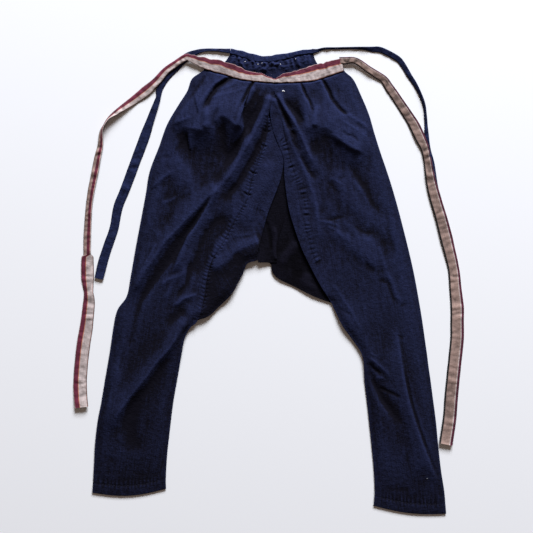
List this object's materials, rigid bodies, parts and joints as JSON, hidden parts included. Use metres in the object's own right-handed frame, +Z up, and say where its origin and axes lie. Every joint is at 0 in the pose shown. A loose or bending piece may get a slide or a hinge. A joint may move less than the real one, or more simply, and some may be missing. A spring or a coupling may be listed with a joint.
{
  "type": "monpe trousers",
  "caption": "Indigo cotton monpe trousers laid flat: wide pleated hips, crotch gusset, tapered legs, striped front belt and navy back ties.",
  "frame": {"origin": "middle of the laid-out garment's box, on the surface that it lies on", "axes": "+Z up from the surface, +Y from the hems to the waist, +X to the right seen from above"},
  "size_m": [0.7811, 0.9354, 0.0235],
  "materials": {
    "indigo_cotton": "plain-woven washed indigo cotton, matt with a faint sheen",
    "striped_cotton": "narrow woven stripe, maroon, orange line and cream, taupe on the reverse",
    "navy_cotton": "plain navy cotton tape, matt"
  },
  "bodies": {
    "root": {"front_left": "indigo_cotton", "front_right": "indigo_cotton", "gusset_front_left": "indigo_cotton", "gusset_front_right": "indigo_cotton", "gusset_tuck": "indigo_cotton", "gusset_back": "indigo_cotton", "back_left": "indigo_cotton", "back_right": "indigo_cotton", "waistband_front": "striped_cotton", "waistband_back": "navy_cotton", "tie_front_left": "striped_cotton", "tie_front_right": "striped_cotton", "tie_back_left": "navy_cotton", "tie_back_right": "navy_cotton"}
  },
  "joints": []
}
